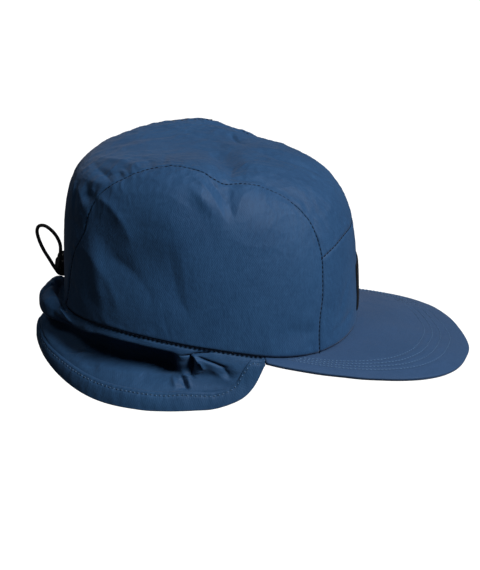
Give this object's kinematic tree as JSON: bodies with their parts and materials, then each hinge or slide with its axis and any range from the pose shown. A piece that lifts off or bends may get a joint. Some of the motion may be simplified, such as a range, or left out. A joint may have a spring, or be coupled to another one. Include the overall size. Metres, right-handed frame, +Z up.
{
  "type": "earflap cap",
  "caption": "Soft nylon cap with a curved peak, a folded ear and neck flap below the rim, and an elastic drawcord with a push-button cord lock at the rear.",
  "frame": {"origin": "centre of the head opening at the height of the front hem", "axes": "+X towards the peak, +Y towards the wearer's left, +Z up"},
  "size_m": [0.3003, 0.1754, 0.1583],
  "materials": {
    "crown_cloth": "matte woven nylon",
    "peak_cloth": "matte woven nylon over a stiff board",
    "flap_cloth": "matte woven nylon",
    "hem_cloth": "matte woven nylon, turned and stitched",
    "patch": "plain black",
    "cord": "braided elastic",
    "lock": "satin",
    "button": "satin"
  },
  "bodies": {
    "cap": {"side_panel_right": "crown_cloth", "side_panel_left": "crown_cloth", "top_panel": "crown_cloth", "front_panel": "crown_cloth", "peak": "peak_cloth", "front_patch": "patch", "neck_flap": "flap_cloth", "flap_hem": "hem_cloth", "drawcord": "cord", "cord_lock": "lock"},
    "button": {"lock_button": "button"}
  },
  "joints": [
    {"name": "button_press", "type": "slide", "parent": "cap", "child": "button", "axis": [0, 0, -1], "range_m": [0, 0.0025], "stiffness_N_per_m": 150, "springref_m": -0.003}
  ]
}
